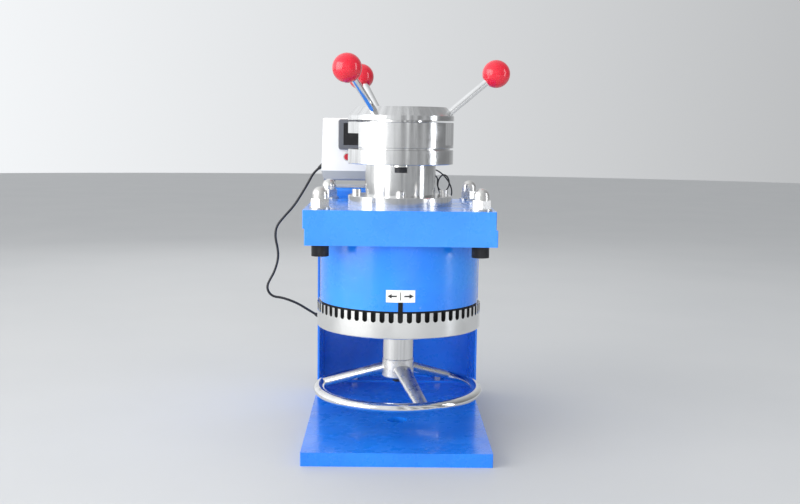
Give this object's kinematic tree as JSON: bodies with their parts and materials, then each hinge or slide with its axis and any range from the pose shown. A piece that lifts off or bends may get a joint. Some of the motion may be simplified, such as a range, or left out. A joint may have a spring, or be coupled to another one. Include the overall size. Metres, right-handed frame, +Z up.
{
  "type": "hand-cranked bench indexing machine",
  "caption": "Blue bench stand with a slotted index drum, a handwheel below it, a lever-clamped chuck head on top and a digital read-out box behind.",
  "frame": {"origin": "centre of the base's through hole on the underside of the base, on the drive axis", "axes": "+Z up along the drive axis, -Y towards the operator, +X to the operator's right"},
  "size_m": [0.3744, 0.432, 0.5526],
  "materials": {
    "blue_paint": "gloss",
    "turned_steel": "turned",
    "polished_steel": "polished",
    "black_oxide": "satin",
    "shaft_steel": "ground",
    "bronze": "satin",
    "red_ball": "gloss",
    "white_case": "fine texture",
    "grey_case": "fine texture",
    "screen": "gloss",
    "black_rubber": "matte"
  },
  "bodies": {
    "stand": {"base_plate": "blue_paint", "column": "blue_paint", "foot_bolts": "polished_steel", "lower_head_plate": "blue_paint", "upper_head_plate": "blue_paint", "tie_screws": "black_oxide", "tie_washers": "turned_steel", "dome_nuts": "polished_steel", "cylinder_housing": "blue_paint", "bearing_plate": "black_oxide", "pointer": "black_oxide", "pointer_label": "white_case", "bearing_outer_race": "shaft_steel", "bearing_balls": "shaft_steel", "thrust_race_lower": "shaft_steel", "thrust_balls": "shaft_steel", "shaft_seal": "black_rubber", "neck_bushes": "bronze", "guide_pin": "shaft_steel", "neck": "turned_steel", "flange_screws": "polished_steel", "seat_disc": "turned_steel", "clamp_washers": "turned_steel", "clamp_bolts": "black_oxide", "chuck_body": "turned_steel", "collet": "shaft_steel", "box_support": "blue_paint", "box_feet": "black_rubber", "box_base": "grey_case", "box_cover": "white_case", "meter_case": "grey_case", "meter_window": "screen", "button_guide": "polished_steel", "sensor_bracket": "shaft_steel", "slot_sensor": "bronze", "sensor_nuts": "bronze", "lead_glands": "black_rubber", "wire_glands": "black_rubber", "wire_clip": "black_rubber", "sensor_lead": "black_rubber", "sensor_tail": "black_rubber", "probe_wire": "black_rubber"},
    "drive": {"index_drum": "turned_steel", "drive_sleeve": "turned_steel", "handwheel_hub": "turned_steel", "hub_key": "shaft_steel", "handwheel_spokes": "polished_steel", "handwheel_ring": "polished_steel", "spindle": "shaft_steel", "retaining_screw": "black_oxide", "bearing_inner_race": "shaft_steel", "thrust_race_upper": "shaft_steel"},
    "feed": {"feed_nut": "bronze", "plunger": "shaft_steel", "plunger_tip": "bronze"},
    "pressure_ring": {"pressure_ring": "turned_steel"},
    "clamp_nut": {"clamp_nut": "turned_steel", "lever_rods": "polished_steel", "lever_knobs": "red_ball"},
    "reset_button": {"reset_button": "red_ball"}
  },
  "joints": [
    {"name": "drive_turn", "type": "hinge", "parent": "stand", "child": "drive", "pos_m": [0, 0, 0.0687], "axis": [0, 0, 1], "range_deg": [-720, 720]},
    {"name": "feed_slide", "type": "slide", "parent": "stand", "child": "feed", "axis": [0, 0, 1], "range_m": [-0.008, 0.008]},
    {"name": "clamp_slide", "type": "slide", "parent": "stand", "child": "pressure_ring", "axis": [0, 0, 1], "range_m": [0, 0.003]},
    {"name": "clamp_turn", "type": "hinge", "parent": "pressure_ring", "child": "clamp_nut", "pos_m": [0, 0, 0.4645], "axis": [0, 0, 1], "range_deg": [0, 120]},
    {"name": "button_press", "type": "slide", "parent": "stand", "child": "reset_button", "axis": [0, 1, 0], "range_m": [0, 0.003], "stiffness_N_per_m": 300, "springref_m": -0.001}
  ],
  "couplings": [
    {"joint": "feed_slide", "follows": "drive_turn", "m_per_rad": 0.00063662},
    {"joint": "clamp_slide", "follows": "clamp_turn", "m_per_rad": 0.0014324}
  ]
}
